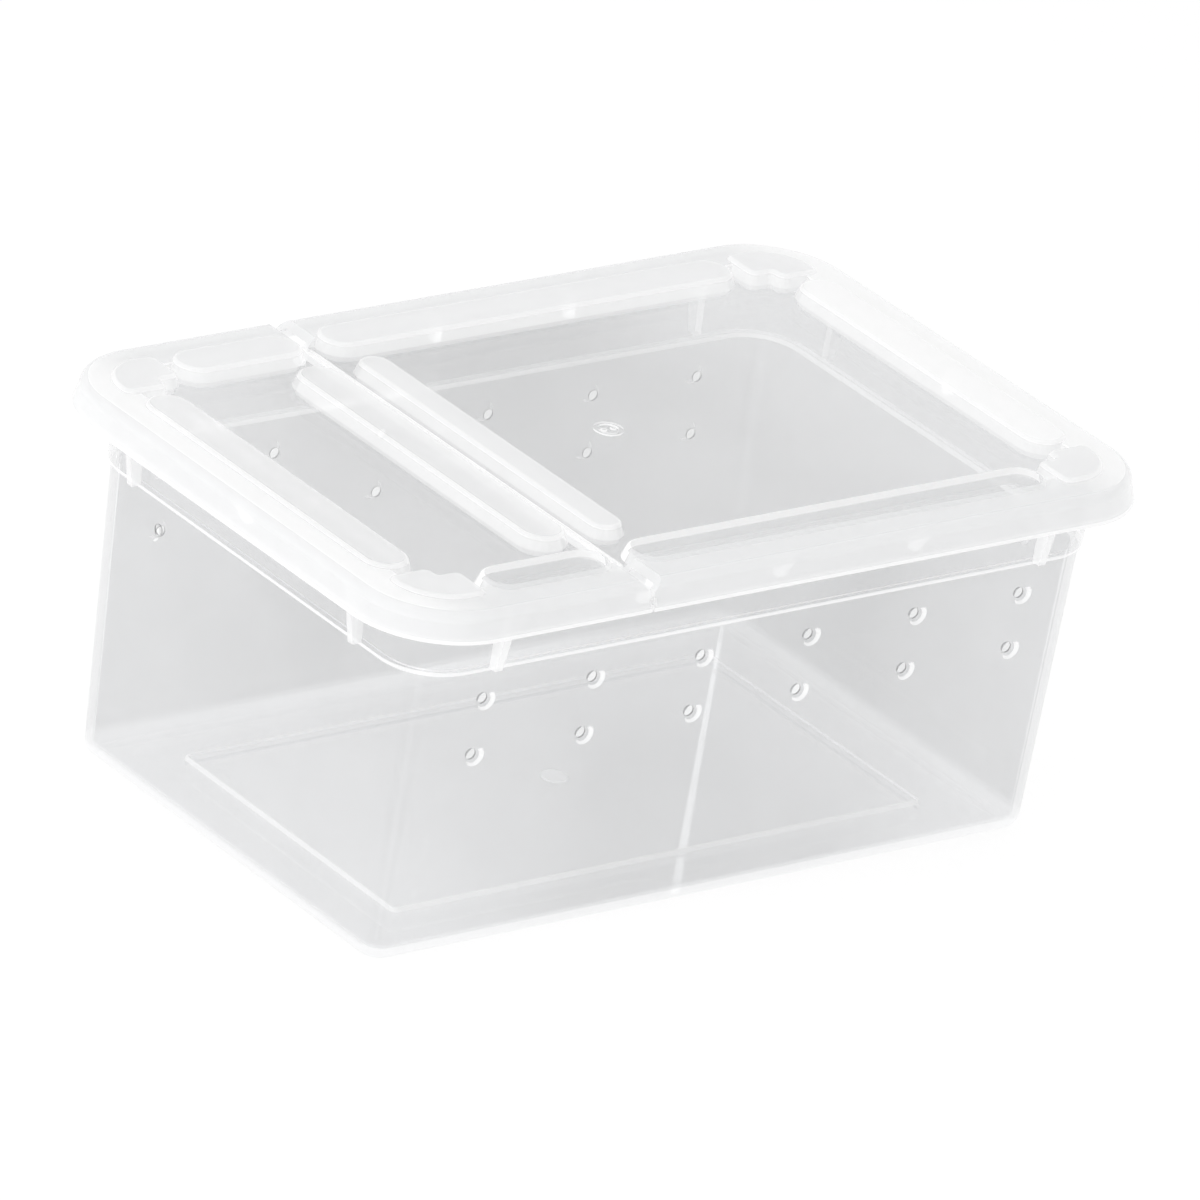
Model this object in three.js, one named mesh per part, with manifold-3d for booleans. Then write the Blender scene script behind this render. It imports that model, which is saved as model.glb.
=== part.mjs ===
// Clear plastic feeding box: a tapered tub and a lift-off lid whose left third is a flap on a film hinge.
// Millimetres, +Z up. X runs along the long side, the flap is at -X, the origin is under the tub's middle.
import * as THREE from "three";
import { mergeVertices } from "three/addons/utils/BufferGeometryUtils.js";
import Module from "manifold-3d";

const wasm = await Module();
wasm.setup();

// Tub body: half sizes of its outside at the foot and at the ledge
const footHalfLength = 83.0;
const footHalfWidth = 50.9;
const footCornerRadius = 5.2;
const footRounding = 3.6;
const ledgeHalfLength = 85.9;
const ledgeHalfWidth = 55.5;
const ledgeCornerRadius = 11.5;
const ledgeHeight = 64.8;
const tubWall = 1.6;
const tubFloor = 1.8;

// Band above the ledge, and the flat flange round the mouth
const ledgeStep = 0.7;
const ledgeRise = 0.7;
const bandFlare = 0.8;
const flangeReach = 4.6;
const flangeTop = 80.4;
const flangeThickness = 1.4;
const flangeEdgeRadius = 0.5;

// Upright gussets under the flange: long ones near the corners, short ones between them
const gussetThickness = 1.7;
const gussetPitchLongSide = 34.0;
const gussetPlaceShortSide = 37.4;
const gussetFootReach = 1.3;
const gussetEdgeMargin = 0.5;
const shortGussetHeight = 4.6;

// Raised middle of the floor, hollow below, which leaves a standing ring round it
const ringWidthX = 16.5;
const ringWidthY = 15.0;
const padCornerRadius = 1.2;
const padRise = 1.0;
const padSlope = 0.6;

// Air holes: two rows in the front and the back wall, and one hole in each end wall, all countersunk
const ventColumnCount = 6;
const ventPitch = 26.9;
const ventUpperHeight = 57.45;
const ventRowDrop = 12.6;
const ventMouthRadius = 2.2;
const ventThroatRadius = 1.15;
const endVentPlace = 32.0;

// Lid: its skirt hangs round the flange, its panel is sunk into the mouth
const lidCornerRadius = 20.0;
const lidWall = 1.4;
const skirtBottom = 75.8;
const skirtDraft = 1.1;
const shoulderRadius = 2.2;
const shoulderInnerRadius = 0.8;
const landTop = 82.1;
const panelTop = 80.2;
const skirtClearance = 0.5;
const mouthClearance = 0.5;
const recessDraft = 0.4;

// Hollow stacking bars that stand on the panel and straddle its edge
const barTop = 82.9;
const barDraft = 1.05;
const barEdgeRadius = 0.7;
const railTopHalfWidth = 4.7;
const railInset = 5.1;
const barEndGap = 3.2;
const hingeBarGap = 2.2;
const flapBarTopWidth = 9.4;
const coverBarTopWidth = 6.7;
const hingeBarEndGap = 5.8;

// Corner bars, bent round a point near each corner of the panel
const bendInset = 10.9;
const bendInnerRadius = 1.1;
const bendOuterRadius = 10.5;
const bendLeastRadius = 0.2;
const bendStubX = 4.0;
const bendStubY = 2.2;
const bendCornerRadius = 1.6;

// Film hinge: a thin strip across the panel in a slot between flap and cover
const hingeX = -36.8;
const hingeDepth = 0.4;
const filmHalfWidth = 0.8;
const filmHalfThickness = 0.27;
const filmGap = 0.3;
const splitHalfWidth = 0.35;
const reliefWidth = 1.5;
const reliefBottom = 77.0;
const reliefHeight = 1.5;

// Moulding marks left by the gates on the lid and the floor
const gateRingRadius = 2.6;
const gateRingHalfWidth = 0.5;
const gateRise = 0.35;
const gatePipRadius = 0.7;
const gatePipPlace = 1.2;
const floorGateRadius = 2.8;
const gateSink = 0.3;

// Overrun of cutting bodies, and the tolerance that joins corner points
const overrun = 2.0;
const weldTolerance = 0.0002;

// Step counts of the round shapes
const cornerSteps = 8;
const capSteps = 10;
const edgeSteps = 3;
const footSteps = 5;
const ventSides = 16;
const gateSides = 20;

// Sizes that follow from the ones above
const flangeBottom = flangeTop - flangeThickness;
const bandHalfLength = ledgeHalfLength + ledgeStep + bandFlare;
const bandHalfWidth = ledgeHalfWidth + ledgeStep + bandFlare;
const bandCornerRadius = ledgeCornerRadius + ledgeStep + bandFlare;
const panelBottom = panelTop - lidWall;
const landBottom = landTop - lidWall;
const skirtTop = landTop - shoulderRadius;
const hingeZ = panelTop - hingeDepth;
const padHalfLength = footHalfLength - ringWidthX;
const padHalfWidth = footHalfWidth - ringWidthY;
const flangeInset = lidWall + skirtClearance + skirtDraft * (flangeTop - skirtBottom) / (skirtTop - skirtBottom);
const lidHalfLength = bandHalfLength + flangeReach + flangeInset;
const lidHalfWidth = bandHalfWidth + flangeReach + flangeInset;
const railLineX = bandHalfLength - railInset;
const railLineY = bandHalfWidth - railInset;
const bendCentreX = bandHalfLength - bendInset;
const bendCentreY = bandHalfWidth - bendInset;
const sideRailHalfLength = bendCentreY - bendStubY - barEndGap;
const longRailEnd = bendCentreX - bendStubX - barEndGap;
const hingeBarHalfLength = railLineY - railTopHalfWidth - hingeBarEndGap;
const filmHalfLength = railLineY;
const barSlopeShare = barDraft / (barTop - panelTop);

// Bare closed geometry as a body for adding and cutting
function bodyOf(geometry) {
  const bare = new THREE.BufferGeometry();
  bare.setAttribute("position", geometry.getAttribute("position"));
  if (geometry.index) {
    bare.setIndex(geometry.index);
  }
  const merged = mergeVertices(bare, weldTolerance);
  return new wasm.Manifold(new wasm.Mesh({
    numProp: 3,
    vertProperties: Float32Array.from(merged.attributes.position.array),
    triVerts: Uint32Array.from(merged.index.array),
  }));
}

// Finished body as a named mesh
function meshOf(body, name, material) {
  const data = body.getMesh();
  const geometry = new THREE.BufferGeometry();
  geometry.setAttribute("position", new THREE.Float32BufferAttribute(data.vertProperties, 3));
  geometry.setIndex(Array.from(data.triVerts));
  const mesh = new THREE.Mesh(geometry, material);
  mesh.name = name;
  return mesh;
}

function joined(bodies) {
  return bodies.reduce((all, next) => all.add(next));
}

// Closed body through level outlines of equal point count, from the lowest to the highest
function loft(levels) {
  const count = levels[0].outline.length;
  const positions = [];
  const index = [];
  for (const { outline, z } of levels) {
    for (const [x, y] of outline) {
      positions.push(x, y, z);
    }
  }
  for (let level = 1; level < levels.length; level += 1) {
    for (let i = 0; i < count; i += 1) {
      const a = (level - 1) * count + i;
      const b = (level - 1) * count + ((i + 1) % count);
      index.push(a, b, b + count);
      index.push(a, b + count, a + count);
    }
  }
  for (const level of [0, levels.length - 1]) {
    const flat = levels[level].outline.map(([x, y]) => new THREE.Vector2(x, y));
    for (const [i, j, k] of THREE.ShapeUtils.triangulateShape(flat, [])) {
      const corners = level === 0 ? [k, j, i] : [i, j, k];
      index.push(...corners.map((corner) => level * count + corner));
    }
  }
  const geometry = new THREE.BufferGeometry();
  geometry.setAttribute("position", new THREE.Float32BufferAttribute(positions, 3));
  geometry.setIndex(index);
  return bodyOf(geometry);
}

// Outline of a rectangle with round corners
function roundedOutline(halfLength, halfWidth, radius) {
  const outline = [];
  for (let quarter = 0; quarter < 4; quarter += 1) {
    const sideX = quarter === 0 || quarter === 3 ? 1 : -1;
    const sideY = quarter < 2 ? 1 : -1;
    for (let i = 0; i <= cornerSteps; i += 1) {
      const angle = (quarter + i / cornerSteps) * Math.PI / 2;
      const x = sideX * (halfLength - radius) + radius * Math.cos(angle);
      const y = sideY * (halfWidth - radius) + radius * Math.sin(angle);
      outline.push([x, y]);
    }
  }
  return outline;
}

// Outline of the tub's tapered wall at a height, moved in by an inset
function wallOutline(z, inset) {
  const share = z / ledgeHeight;
  const halfLength = footHalfLength + (ledgeHalfLength - footHalfLength) * share;
  const halfWidth = footHalfWidth + (ledgeHalfWidth - footHalfWidth) * share;
  const radius = footCornerRadius + (ledgeCornerRadius - footCornerRadius) * share;
  return roundedOutline(halfLength - inset, halfWidth - inset, radius - inset);
}

// Outline of the band at its top edge, moved in by an inset
function bandOutline(inset) {
  return roundedOutline(bandHalfLength - inset, bandHalfWidth - inset, bandCornerRadius - inset);
}

// Outline of the lid, moved in by an inset from the bottom edge of its skirt
function lidOutline(inset) {
  return roundedOutline(lidHalfLength - inset, lidHalfWidth - inset, lidCornerRadius - inset);
}

// How far the outside of the skirt has moved in at a height
function skirtInset(z) {
  return skirtDraft * (z - skirtBottom) / (skirtTop - skirtBottom);
}

// Block given by its low and high corners
function block(x0, y0, z0, x1, y1, z1) {
  const geometry = new THREE.BoxGeometry(x1 - x0, y1 - y0, z1 - z0);
  geometry.translate((x0 + x1) / 2, (y0 + y1) / 2, (z0 + z1) / 2);
  return bodyOf(geometry);
}

// Prism of an outline drawn in X and Z, with its depth centred on Y
function uprightPrism(points, depth) {
  const outline = new THREE.Shape(points.map(([x, z]) => new THREE.Vector2(x, z)));
  const geometry = new THREE.ExtrudeGeometry(outline, { depth, bevelEnabled: false });
  geometry.translate(0, 0, -depth / 2);
  geometry.rotateX(Math.PI / 2);
  return geometry;
}

// Tub

function tubOutside() {
  const levels = [];
  for (let i = 0; i <= footSteps; i += 1) {
    const angle = i / footSteps * Math.PI / 2;
    const z = footRounding * (1 - Math.cos(angle));
    levels.push({ outline: wallOutline(z, footRounding * (1 - Math.sin(angle))), z });
  }
  levels.push({ outline: wallOutline(ledgeHeight, 0), z: ledgeHeight });
  levels.push({ outline: bandOutline(bandFlare), z: ledgeHeight + ledgeRise });
  levels.push({ outline: bandOutline(0), z: flangeBottom });
  levels.push({ outline: lidOutline(flangeInset), z: flangeBottom });
  levels.push({ outline: lidOutline(flangeInset), z: flangeTop - flangeEdgeRadius });
  levels.push({ outline: lidOutline(flangeInset + flangeEdgeRadius), z: flangeTop });
  return loft(levels);
}

function tubInside() {
  const levels = [];
  const rounding = footRounding - tubWall;
  for (let i = 0; i <= footSteps; i += 1) {
    const angle = i / footSteps * Math.PI / 2;
    const z = tubFloor + rounding * (1 - Math.cos(angle));
    levels.push({ outline: wallOutline(z, tubWall + rounding * (1 - Math.sin(angle))), z });
  }
  levels.push({ outline: wallOutline(ledgeHeight, tubWall), z: ledgeHeight });
  levels.push({ outline: bandOutline(bandFlare + tubWall), z: ledgeHeight + ledgeRise });
  levels.push({ outline: bandOutline(tubWall), z: flangeTop });
  levels.push({ outline: bandOutline(tubWall), z: flangeTop + overrun });
  return loft(levels);
}

// One gusset, standing out along +X from the top of the band's face
function gussetPlate(low, reach) {
  const root = bandFlare + tubWall / 2;
  const high = flangeBottom + flangeThickness / 2;
  const points = [[-root, low], [gussetFootReach, low], [reach, flangeBottom], [reach, high], [-root, high]];
  return uprightPrism(points, gussetThickness);
}

function gussets() {
  const longLow = ledgeHeight + ledgeRise;
  const shortLow = flangeBottom - shortGussetHeight;
  const reach = flangeReach - gussetEdgeMargin;
  const bodies = [];
  for (const side of [-1, 1]) {
    for (const step of [-2, -1, 0, 1, 2]) {
      const plate = gussetPlate(Math.abs(step) === 2 ? longLow : shortLow, reach);
      plate.rotateZ(side * Math.PI / 2);
      plate.translate(step * gussetPitchLongSide, side * bandHalfWidth, 0);
      bodies.push(bodyOf(plate));
    }
    for (const step of [-1, 0, 1]) {
      const plate = gussetPlate(step === 0 ? shortLow : longLow, reach);
      plate.rotateZ(side < 0 ? Math.PI : 0);
      plate.translate(side * bandHalfLength, step * gussetPlaceShortSide, 0);
      bodies.push(bodyOf(plate));
    }
  }
  return joined(bodies);
}

// Tapered cutter of one air hole along +Y from the wall's face: wide outside, narrow inside
function ventCutter() {
  const slope = (ventMouthRadius - ventThroatRadius) / tubWall;
  const outer = ventMouthRadius + slope * tubWall / 2;
  const inner = ventThroatRadius - slope * tubWall / 2;
  const geometry = new THREE.CylinderGeometry(outer, inner, 2 * tubWall, ventSides);
  geometry.translate(0, -tubWall / 2, 0);
  return geometry;
}

function vents() {
  const bodies = [];
  for (const side of [-1, 1]) {
    for (let row = 0; row < 2; row += 1) {
      const z = ventUpperHeight - row * ventRowDrop;
      const face = footHalfWidth + (ledgeHalfWidth - footHalfWidth) * z / ledgeHeight;
      for (let column = 0; column < ventColumnCount; column += 1) {
        const cutter = ventCutter();
        cutter.rotateZ(side < 0 ? Math.PI : 0);
        cutter.translate((column - (ventColumnCount - 1) / 2) * ventPitch, side * face, z);
        bodies.push(bodyOf(cutter));
      }
    }
    const endFace = footHalfLength + (ledgeHalfLength - footHalfLength) * ventUpperHeight / ledgeHeight;
    const endCutter = ventCutter();
    endCutter.rotateZ(-side * Math.PI / 2);
    endCutter.translate(side * endFace, -side * endVentPlace, ventUpperHeight);
    bodies.push(bodyOf(endCutter));
  }
  return joined(bodies);
}

// Block of the floor's pad between two heights, sloping in towards the top
function padBlock(low, high) {
  const levels = [[padSlope, low], [0, high]].map(([grow, z]) => {
    return { outline: roundedOutline(padHalfLength + grow, padHalfWidth + grow, padCornerRadius + grow), z };
  });
  return loft(levels);
}

// Round mark of a gate on a level face
function gateDisc(radius, x, z) {
  const geometry = new THREE.CylinderGeometry(radius, radius, gateSink + gateRise, gateSides);
  geometry.rotateX(Math.PI / 2);
  geometry.translate(x, 0, z + (gateRise - gateSink) / 2);
  return bodyOf(geometry);
}

function tub() {
  const raised = padBlock(tubFloor / 2, tubFloor + padRise).add(gateDisc(floorGateRadius, 0, tubFloor + padRise));
  const shell = tubOutside().add(gussets()).subtract(tubInside());
  return shell.add(raised).subtract(padBlock(-padRise, padRise)).subtract(vents());
}

// Lid

function lidOutside() {
  const levels = [{ outline: lidOutline(0), z: skirtBottom }];
  const steps = edgeSteps + 1;
  for (let i = 0; i <= steps; i += 1) {
    const angle = i / steps * Math.PI / 2;
    const z = skirtTop + shoulderRadius * Math.sin(angle);
    levels.push({ outline: lidOutline(skirtDraft + shoulderRadius * (1 - Math.cos(angle))), z });
  }
  return loft(levels);
}

function lidInside() {
  const low = skirtBottom - overrun;
  const top = landBottom - shoulderInnerRadius;
  const inset = lidWall + skirtInset(top);
  const levels = [{ outline: lidOutline(lidWall + skirtInset(low)), z: low }];
  for (let i = 0; i <= edgeSteps; i += 1) {
    const angle = i / edgeSteps * Math.PI / 2;
    const z = top + shoulderInnerRadius * Math.sin(angle);
    levels.push({ outline: lidOutline(inset + shoulderInnerRadius * (1 - Math.cos(angle))), z });
  }
  return loft(levels);
}

// Space over the sunk panel, or with a growth of one wall the block that holds the panel
function recess(grow, low) {
  const inset = tubWall + mouthClearance + lidWall - grow;
  const levels = [{ outline: bandOutline(inset + recessDraft), z: low }];
  levels.push({ outline: bandOutline(inset), z: landTop });
  levels.push({ outline: bandOutline(inset), z: landTop + overrun });
  return loft(levels);
}

// Outline of a straight bar with full round ends, its walls moved out by an offset
function railOutline(rail, offset) {
  const outline = [];
  const radius = rail.halfWidth + offset;
  const run = rail.halfLength - rail.halfWidth;
  for (const side of [1, -1]) {
    for (let i = 0; i <= capSteps; i += 1) {
      const angle = (i / capSteps - side / 2) * Math.PI;
      const along = side * run + radius * Math.cos(angle);
      const across = radius * Math.sin(angle);
      outline.push(rail.alongX ? [rail.x + along, rail.y + across] : [rail.x - across, rail.y + along]);
    }
  }
  return outline;
}

// Outline of a corner bar: a quarter ring with short straight ends, its walls moved out by an offset
function bendOutline(bend, offset) {
  const inner = bendInnerRadius - offset;
  const innerArc = Math.max(inner, bendLeastRadius);
  const innerCentre = inner - innerArc;
  const outer = bendOuterRadius + offset;
  const corner = bendCornerRadius + offset;
  const endX = corner - bendStubX - offset;
  const endY = corner - bendStubY - offset;
  const points = [];
  const arc = (centreX, centreY, radius, from, to, steps) => {
    for (let i = 0; i <= steps; i += 1) {
      const angle = (from + (to - from) * i / steps) * Math.PI / 2;
      points.push([centreX + radius * Math.cos(angle), centreY + radius * Math.sin(angle)]);
    }
  };
  arc(0, 0, outer, 0, 1, cornerSteps);
  arc(endX, outer - corner, corner, 1, 2, edgeSteps);
  arc(endX, inner + corner, corner, 2, 3, edgeSteps);
  arc(innerCentre, innerCentre, innerArc, 1, 0, edgeSteps);
  arc(inner + corner, endY, corner, 2, 3, edgeSteps);
  arc(outer - corner, endY, corner, 3, 4, edgeSteps);
  const outline = points.map(([x, y]) => [bend.sideX * (bendCentreX + x), bend.sideY * (bendCentreY + y)]);
  return bend.sideX * bend.sideY < 0 ? outline.reverse() : outline;
}

function barOutline(bar, offset) {
  return bar.bend ? bendOutline(bar, offset) : railOutline(bar, offset);
}

// Outside of a bar: drafted walls and a rounded top edge
function barOutside(bar) {
  const low = panelTop - lidWall / 2;
  const levels = [{ outline: barOutline(bar, (barTop - low) * barSlopeShare), z: low }];
  for (let i = 0; i <= edgeSteps; i += 1) {
    const angle = i / edgeSteps * Math.PI / 2;
    const z = barTop - barEdgeRadius * (1 - Math.sin(angle));
    const offset = (barTop - z) * barSlopeShare - barEdgeRadius * (1 - Math.cos(angle));
    levels.push({ outline: barOutline(bar, offset), z });
  }
  return loft(levels);
}

// Hollow under a bar, open below
function barInside(bar) {
  const levels = [panelBottom - overrun, barTop - lidWall].map((z) => {
    return { outline: barOutline(bar, (barTop - z) * barSlopeShare - lidWall), z };
  });
  return loft(levels);
}

// Every bar of the lid
function lidBars() {
  const bars = [];
  const near = hingeBarGap + barDraft;
  const railBetween = (from, to, y) => {
    bars.push({ alongX: true, x: (from + to) / 2, y, halfLength: (to - from) / 2, halfWidth: railTopHalfWidth });
  };
  for (const side of [-1, 1]) {
    railBetween(-longRailEnd, hingeX - near, side * railLineY);
    railBetween(hingeX + near, longRailEnd, side * railLineY);
    bars.push({ x: side * railLineX, y: 0, halfLength: sideRailHalfLength, halfWidth: railTopHalfWidth });
    bars.push({ bend: true, sideX: side, sideY: side });
    bars.push({ bend: true, sideX: side, sideY: -side });
  }
  const flapHalf = flapBarTopWidth / 2;
  const coverHalf = coverBarTopWidth / 2;
  bars.push({ x: hingeX - near - flapHalf, y: 0, halfLength: hingeBarHalfLength, halfWidth: flapHalf });
  bars.push({ x: hingeX + near + coverHalf, y: 0, halfLength: hingeBarHalfLength, halfWidth: coverHalf });
  return bars;
}

// Gate mark of the lid: a low ring with two pips
function lidGate() {
  const inner = gateRingRadius - gateRingHalfWidth;
  const outer = gateRingRadius + gateRingHalfWidth;
  const profile = [[inner, -gateSink], [outer, -gateSink], [outer, gateRise], [inner, gateRise], [inner, -gateSink]];
  const ring = new THREE.LatheGeometry(profile.map(([r, h]) => new THREE.Vector2(r, h)), gateSides);
  ring.rotateX(Math.PI / 2);
  ring.translate(0, 0, panelTop);
  const pips = [-1, 1].map((side) => gateDisc(gatePipRadius, side * gatePipPlace, panelTop));
  return joined([bodyOf(ring), ...pips]);
}

function wholeLid() {
  const bars = lidBars();
  const outside = lidOutside().subtract(recess(0, panelTop)).add(joined(bars.map(barOutside)));
  const inside = lidInside().subtract(recess(lidWall, panelBottom)).add(joined(bars.map(barInside)));
  return outside.subtract(inside).add(lidGate());
}

// Space on one side of the hinge line: a narrow split below the hinge, half of a notch above it
function sideOfHinge(side) {
  const far = 2 * lidHalfLength;
  const low = skirtBottom - overrun;
  const high = barTop + overrun;
  const near = splitHalfWidth;
  const points = [[near, low], [far, low], [far, high], [near + high - hingeZ, high], [near, hingeZ]];
  const geometry = uprightPrism(points, 2 * (lidHalfWidth + overrun));
  geometry.rotateZ(side < 0 ? Math.PI : 0);
  geometry.translate(hingeX, 0, 0);
  return bodyOf(geometry);
}

// Slot for the film, and the square relief holes at the foot of the split
function hingeCuts() {
  const slotX = filmHalfWidth + filmGap;
  const slotY = filmHalfLength + filmGap;
  const half = reliefWidth / 2;
  const slot = block(hingeX - slotX, -slotY, panelBottom - overrun, hingeX + slotX, slotY, panelTop + filmGap);
  const reliefs = [-1, 1].map((side) => {
    const y = side * (lidHalfWidth + (overrun - lidWall) / 2);
    const reach = (overrun + lidWall) / 2;
    return block(hingeX - half, y - reach, reliefBottom, hingeX + half, y + reach, reliefBottom + reliefHeight);
  });
  return joined([slot, ...reliefs]);
}

function filmHinge() {
  const geometry = new THREE.CylinderGeometry(1, 1, 2 * filmHalfLength, gateSides);
  geometry.scale(filmHalfWidth, 1, filmHalfThickness);
  geometry.translate(hingeX, 0, hingeZ);
  return bodyOf(geometry);
}

const tubPlastic = new THREE.MeshStandardMaterial({
  color: 0xe2e3e6, roughness: 0.12, metalness: 0, transparent: true, opacity: 0.4,
});
const lidPlastic = new THREE.MeshStandardMaterial({
  color: 0xeeeff0, roughness: 0.16, metalness: 0, transparent: true, opacity: 0.5,
});

const lid = wholeLid().subtract(hingeCuts());
const feedingBox = new THREE.Group();
feedingBox.name = "feeding_box";
feedingBox.add(meshOf(tub(), "tub", tubPlastic));
feedingBox.add(meshOf(lid.intersect(sideOfHinge(1)), "lid_cover", lidPlastic));
feedingBox.add(meshOf(lid.intersect(sideOfHinge(-1)), "lid_flap", lidPlastic));
feedingBox.add(meshOf(filmHinge(), "film_hinge", lidPlastic));

export default feedingBox;
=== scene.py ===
import math

import bmesh
import bpy
from mathutils import Matrix, Vector


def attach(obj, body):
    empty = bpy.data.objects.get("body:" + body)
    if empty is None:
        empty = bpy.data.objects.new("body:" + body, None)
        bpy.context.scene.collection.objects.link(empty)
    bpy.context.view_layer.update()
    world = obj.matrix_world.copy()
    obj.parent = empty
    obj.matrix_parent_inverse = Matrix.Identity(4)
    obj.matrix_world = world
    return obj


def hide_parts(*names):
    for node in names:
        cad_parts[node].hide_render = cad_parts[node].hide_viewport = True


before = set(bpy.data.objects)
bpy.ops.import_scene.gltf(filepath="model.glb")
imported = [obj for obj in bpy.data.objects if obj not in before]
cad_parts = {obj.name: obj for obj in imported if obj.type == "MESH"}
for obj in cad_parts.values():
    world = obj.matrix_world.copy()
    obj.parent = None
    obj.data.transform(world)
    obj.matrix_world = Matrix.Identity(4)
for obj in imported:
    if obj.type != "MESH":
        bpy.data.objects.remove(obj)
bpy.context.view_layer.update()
scene = bpy.context.scene
MM = 0.001
WHITE = (1.0, 1.0, 1.0, 1.0)
SOFT_WHITE = (0.97, 0.97, 0.97, 1.0)
PALE = (0.885, 0.888, 0.893, 1.0)
MILK = (0.95, 0.955, 0.96, 1.0)

# Sizes of tub and lid are in millimetres. FOOT, LEDGE, BAND, PAD, LID and RECESS are a half length, a half
# width and a corner radius.

# Tub
FOOT = (83.0, 50.9, 5.2)
FOOT_ROUNDING = 3.6
LEDGE = (85.9, 55.5, 11.5)
LEDGE_Z = 64.8
TUB_WALL = 1.6
TUB_FLOOR = 1.8
LEDGE_STEP = 0.7
LEDGE_RISE = 0.7
BAND_FLARE = 0.8
LEDGE_LINE = (64.4, 65.6)
LEDGE_FILLET = 0.15
BAND = tuple(size + LEDGE_STEP + BAND_FLARE for size in LEDGE)
BAND_TOP_INSET = 0.25
BAND_TOP_DROP = 0.3
FLANGE_REACH = 4.6
FLANGE_TOP = 80.4
FLANGE_THICKNESS = 1.4
FLANGE_EDGE = 0.5
FLANGE_LOW = FLANGE_TOP - FLANGE_THICKNESS
GUSSET_THICKNESS = 1.7
GUSSET_PITCH_X = 34.0
GUSSET_PLACE_Y = 37.4
GUSSET_FOOT = 1.3
GUSSET_MARGIN = 0.5
GUSSET_SHORT = 4.6
PAD = (FOOT[0] - 16.5, FOOT[1] - 15.0, 1.2)
PAD_RISE = 1.0
PAD_SLOPE = 0.6
PAD_ROUND = 0.2
PAD_BULGE = 0.1
PAD_BEVEL = 0.06
VENT_COLUMNS = 6
VENT_PITCH = 26.9
VENT_Z = 57.45
VENT_DROP = 12.6
VENT_MOUTH = 2.2
VENT_THROAT = 1.15
VENT_END_Y = 32.0
THROAT_DEPTH = 0.35
VENT_SLOPE = (VENT_MOUTH - VENT_THROAT) / (TUB_WALL - THROAT_DEPTH)
VENT_RING = 0.72
# Side of the air holes' outer rings that gets a painted highlight
VENT_HIGHLIGHT = Vector((0.75, -0.75, -0.65))

# Lid
LID_WALL = 1.4
SKIRT_LOW = 75.8
SKIRT_DRAFT = 1.1
LIP = 0.8
LIP_EDGE = 0.25
LIP_BEVEL = 0.07
SHOULDER = 2.2
SHOULDER_IN = 0.8
LAND_TOP = 82.1
PANEL_TOP = 80.2
PANEL_LOW = PANEL_TOP - LID_WALL
LAND_LOW = LAND_TOP - LID_WALL
SKIRT_TOP = LAND_TOP - SHOULDER
SKIRT_GAP = 0.5
MOUTH_GAP = 0.5
RECESS_DRAFT = 0.4
RECESS_LIP = 0.3
FLANGE_INSET = LID_WALL + SKIRT_GAP + SKIRT_DRAFT * (FLANGE_TOP - SKIRT_LOW) / (SKIRT_TOP - SKIRT_LOW)
LID = (BAND[0] + FLANGE_REACH + FLANGE_INSET, BAND[1] + FLANGE_REACH + FLANGE_INSET, 20.0)
BAR_TOP = 82.9
BAR_DRAFT = 1.05
BAR_EDGE = 0.7
BAR_SLOPE = BAR_DRAFT / (BAR_TOP - PANEL_TOP)
RAIL_HALF = 4.7
RAIL_INSET = 5.1
RAIL_X = BAND[0] - RAIL_INSET
RAIL_Y = BAND[1] - RAIL_INSET
BEND_INSET = 10.9
BEND = (BAND[0] - BEND_INSET, BAND[1] - BEND_INSET)
BEND_INNER = 1.1
BEND_OUTER = 10.5
BEND_STUB = (4.0, 2.2)
BEND_CORNER = 1.6
BEND_LEAST = 0.2
BAR_END_GAP = 3.2
HINGE_BAR_GAP = 2.2
FLAP_BAR = 9.4
COVER_BAR = 6.7
HINGE_BAR_INSET = 5.8
HINGE_BAR_HALF = RAIL_Y - RAIL_HALF - HINGE_BAR_INSET
HINGE_X = -36.8
HINGE_Z = PANEL_TOP - 0.4
FILM_HALF = (0.8, RAIL_Y, 0.27)
FILM_GAP = 0.3
SPLIT_HALF = 0.35
RELIEF_LOW = 77.0
RELIEF_HEIGHT = 1.5
RELIEF_HALF = 0.75
GATE_RING = (2.1, 3.1)
GATE_PIP = 0.7
GATE_PIP_X = 1.2
GATE_SINK = 0.3
GATE_RISE = 0.35
GATE_EDGE = 0.15
GATE_BEVEL = 0.06
FLOOR_GATE = 2.8
OVERRUN = 2.0

CORNER_STEPS = 18
CAP_STEPS = 24
EDGE_STEPS = 6
FOOT_STEPS = 9
VENT_SIDES = 36
GATE_SIDES = 40
RING_SIDES = 48
FILM_SIDES = 40
MERGE_METRES = 1e-8


# Meshes

def mesh_of(name, vertices, faces):
    data = bpy.data.meshes.new(name)
    data.from_pydata([(x * MM, y * MM, z * MM) for x, y, z in vertices], [], faces)
    data.validate()
    return data


def joined(parts):
    """Several vertex and face lists as one."""
    vertices, faces = [], []
    for part_vertices, part_faces in parts:
        start = len(vertices)
        vertices += part_vertices
        faces += [tuple(start + i for i in face) for face in part_faces]
    return vertices, faces


def loft(levels):
    """Closed body through outlines of equal length, from the lowest to the highest."""
    count = len(levels[0][0])
    vertices = [(x, y, z) for outline, z in levels for x, y in outline]
    faces = []
    for level in range(1, len(levels)):
        for i in range(count):
            a = (level - 1) * count + i
            b = (level - 1) * count + (i + 1) % count
            faces.append((a, b, b + count, a + count))
    top = (len(levels) - 1) * count
    faces.append(tuple(reversed(range(count))))
    faces.append(tuple(range(top, top + count)))
    return vertices, faces


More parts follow.
